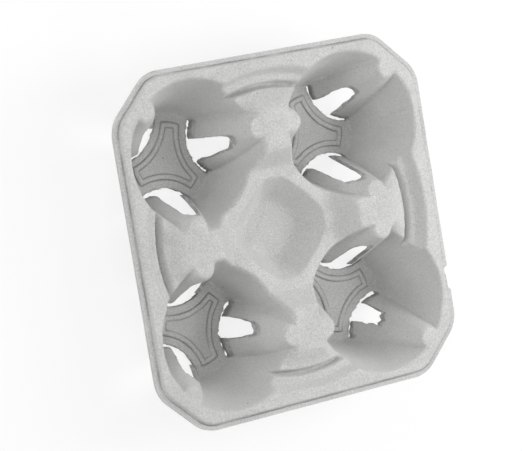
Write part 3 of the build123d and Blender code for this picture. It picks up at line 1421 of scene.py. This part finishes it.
@dataclass
class TornFibres:
    """Loose fibres that stand out from the torn edges of the openings.

    The lengths are in millimetres and the tilt in radians. The bend and the thickness are those
    of a fibre that is one unit long.
    """

    tray: PulpTray
    share: float = 0.45
    shortest: float = 0.5
    longest: float = 1.7
    thickness: float = 0.09
    tilt: tuple[float, float] = (-0.8, -0.05)
    bend: tuple[tuple[float, float, float], ...] = (
        (-0.25, 0.0, 0.0),
        (0.4, 0.25, 0.1),
        (0.75, -0.1, 0.05),
    )
    seed: int = 23
    piece: bpy.types.Object | None = None

    def build(self) -> bpy.types.Object:
        """Grows the fibres from the tray's torn edges.

        Returns:
            The fibres' object.
        """
        self.piece = add_object("torn_fibres", self.tray.piece.data.copy())
        sizes = {f.name: getattr(self, f.name) for f in fields(self) if f.type is float}
        kit = TreeKit("grow_fibres", sizes)
        torn = kit.attribute("torn_edge").step(MathStep.GREATER, 0.5)
        chosen = kit.node("FunctionNodeRandomValue", data_type="BOOLEAN")
        kit.link(kit.size("share").socket, chosen.inputs["Probability"])
        chosen.inputs["Seed"].default_value = self.seed
        picked = torn * (1.0 - kit.attribute("lower_face")) * Field(kit.tree, chosen.outputs[3])
        points = kit.node("GeometryNodeMeshToPoints")
        kit.link(kit.start.outputs["Geometry"], points.inputs["Mesh"])
        kit.link(picked.socket, points.inputs["Selection"])
        planted = kit.node("GeometryNodeInstanceOnPoints")
        kit.link(points.outputs[0], planted.inputs["Points"])
        kit.link(self.strand(kit), planted.inputs["Instance"])
        turn = kit.node("FunctionNodeRandomValue", data_type="FLOAT_VECTOR")
        turn.inputs["Min"].default_value = (0.0, self.tilt[0], -math.pi)
        turn.inputs["Max"].default_value = (0.0, self.tilt[1], math.pi)
        turn.inputs["Seed"].default_value = self.seed + 1
        kit.link(turn.outputs[0], planted.inputs["Rotation"])
        size = kit.node("FunctionNodeRandomValue", data_type="FLOAT")
        kit.link((kit.size("shortest") * MILLIMETRE).socket, size.inputs[2])
        kit.link((kit.size("longest") * MILLIMETRE).socket, size.inputs[3])
        size.inputs["Seed"].default_value = self.seed + 2
        kit.link(size.outputs[1], planted.inputs["Scale"])
        kit.close(planted.outputs[0], self.tray.piece.data.materials[0])
        kit.run(self.piece)
        return self.piece

    def strand(self, kit: TreeKit) -> bpy.types.NodeSocket:
        """One bent fibre, a unit long, as a thin closed tube.

        Args:
            kit: The tree that it is built in.

        Returns:
            The output that carries it.
        """
        path = kit.node("GeometryNodeCurveQuadraticBezier")
        path.inputs["Resolution"].default_value = 4
        for name, point in zip(("Start", "Middle", "End"), self.bend):
            path.inputs[name].default_value = point
        section = kit.node("GeometryNodeCurvePrimitiveCircle")
        section.inputs["Resolution"].default_value = 3
        kit.link((kit.size("thickness") / 2.0).socket, section.inputs["Radius"])
        tube = kit.node("GeometryNodeCurveToMesh")
        tube.inputs["Fill Caps"].default_value = True
        kit.link(path.outputs[0], tube.inputs["Curve"])
        kit.link(section.outputs[0], tube.inputs["Profile Curve"])
        return tube.outputs[0]

    def seat(self) -> None:
        """Lets the fibres move with the tray."""
        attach(self.piece, "root")


@dataclass(frozen=True)
class Viewpoint:
    """Camera of the photograph, fitted to the rim and floors of the tray."""

    place: tuple[float, float, float] = (-0.7160, 0.1279, 1.2563)
    right: tuple[float, float, float] = (0.8477, -0.1638, 0.5045)
    up: tuple[float, float, float] = (0.1855, 0.9826, 0.0073)
    back: tuple[float, float, float] = (-0.4969, 0.0874, 0.8634)
    lens: float = 165.7

    def build(self) -> None:
        """Makes the camera and gives it to the scene."""
        data = bpy.data.cameras.new("camera")
        data.lens = self.lens
        data.sensor_width = 36.0
        data.clip_start, data.clip_end = 0.05, 50.0
        camera = add_object("camera", data)
        turn = Matrix((self.right, self.up, self.back)).transposed()
        camera.matrix_world = Matrix.Translation(self.place) @ turn.to_4x4()
        bpy.context.scene.camera = camera


@dataclass(frozen=True)
class SoftLamp:
    """A square lamp that shines on the tray's middle, with its angles in degrees."""

    name: str
    azimuth: float
    elevation: float
    power: float
    distance: float = 0.8
    width: float = 0.4
    aim_height: float = 0.03

    def build(self) -> None:
        """Makes the lamp and points it at the tray."""
        data = bpy.data.lights.new(self.name, "AREA")
        data.shape = "SQUARE"
        data.size = self.width
        data.energy = self.power
        lamp = add_object(self.name, data)
        turn, rise = math.radians(self.azimuth), math.radians(self.elevation)
        level = math.cos(rise)
        way = Vector((math.cos(turn) * level, math.sin(turn) * level, math.sin(rise)))
        lamp.location = way * self.distance + Vector((0.0, 0.0, self.aim_height))
        lamp.rotation_euler = (-way).to_track_quat("-Z", "Y").to_euler()


@dataclass
class Studio:
    """White floor, soft light and camera."""

    floor_half: float = 4.0
    floor_gap: float = 0.0004
    floor_white: float = 0.82
    floor_tone: float = 0.86
    world_level: float = 0.02
    lamps: tuple[SoftLamp, ...] = (
        SoftLamp("right_lamp", 0.0, 38.0, 2.5, distance=0.6, width=0.3),
        SoftLamp("right_top_lamp", 0.0, 62.0, 1.6),
        SoftLamp("back_lamp", 90.0, 18.0, 1.6),
        SoftLamp("back_left_lamp", 135.0, 38.0, 1.6),
        SoftLamp("left_lamp", 180.0, 18.0, 1.8),
        SoftLamp("left_top_lamp", 180.0, 58.0, 1.15),
        SoftLamp("front_lamp", 265.0, 36.0, 1.7),
    )
    viewpoint: Viewpoint = Viewpoint()

    def build(self) -> None:
        """Makes the whole studio."""
        self.build_floor()
        self.build_world()
        for lamp in self.lamps:
            lamp.build()
        self.viewpoint.build()

    def build_floor(self) -> None:
        """Makes the floor, which the camera sees as white with a faint shadow."""
        half, low = self.floor_half, -self.floor_gap
        mesh = bpy.data.meshes.new("floor")
        corners = [(-half, -half, low), (half, -half, low), (half, half, low), (-half, half, low)]
        mesh.from_pydata(corners, [], [(0, 1, 2, 3)])
        floor = add_object("floor", mesh)
        material = bpy.data.materials.new("white_floor")
        kit = empty_tree(material)
        paper = kit.node("ShaderNodeBsdfDiffuse", Color=(*[self.floor_tone] * 3, 1.0))
        glow = kit.node("ShaderNodeEmission", Color=WHITE, Strength=1.0)
        mix = kit.show(glow, paper, self.floor_white)
        kit.node("ShaderNodeOutputMaterial", Surface=mix.outputs[0])
        mesh.materials.append(material)

    def build_world(self) -> None:
        """Makes the even light from all round, which the camera sees as white."""
        world = bpy.data.worlds.new("studio")
        kit = empty_tree(world)
        light = kit.node("ShaderNodeBackground", Color=WHITE, Strength=self.world_level)
        white = kit.node("ShaderNodeBackground", Color=WHITE, Strength=1.0)
        mix = kit.show(white, light, 1.0)
        kit.node("ShaderNodeOutputWorld", Surface=mix.outputs[0])
        bpy.context.scene.world = world


def main() -> None:
    """Builds the tray and its studio."""
    logging.basicConfig(level=logging.INFO, format="%(name)s: %(message)s")
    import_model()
    bpy.context.scene.view_settings.view_transform = "Standard"
    effects = PulpEffects()
    tray = PulpTray(TraySizes(), Softness(), PulpFinish("grey_pulp", (0.52, 0.52, 0.515)))
    piece = tray.build(effects)
    tray.seat()
    LOG.info("%s: %d faces", piece.name, len(piece.data.polygons))
    fibres = TornFibres(tray)
    piece = fibres.build()
    fibres.seat()
    LOG.info("%s: %d faces", piece.name, len(piece.data.polygons))
    Studio().build()


if __name__ == "__main__":
    main()
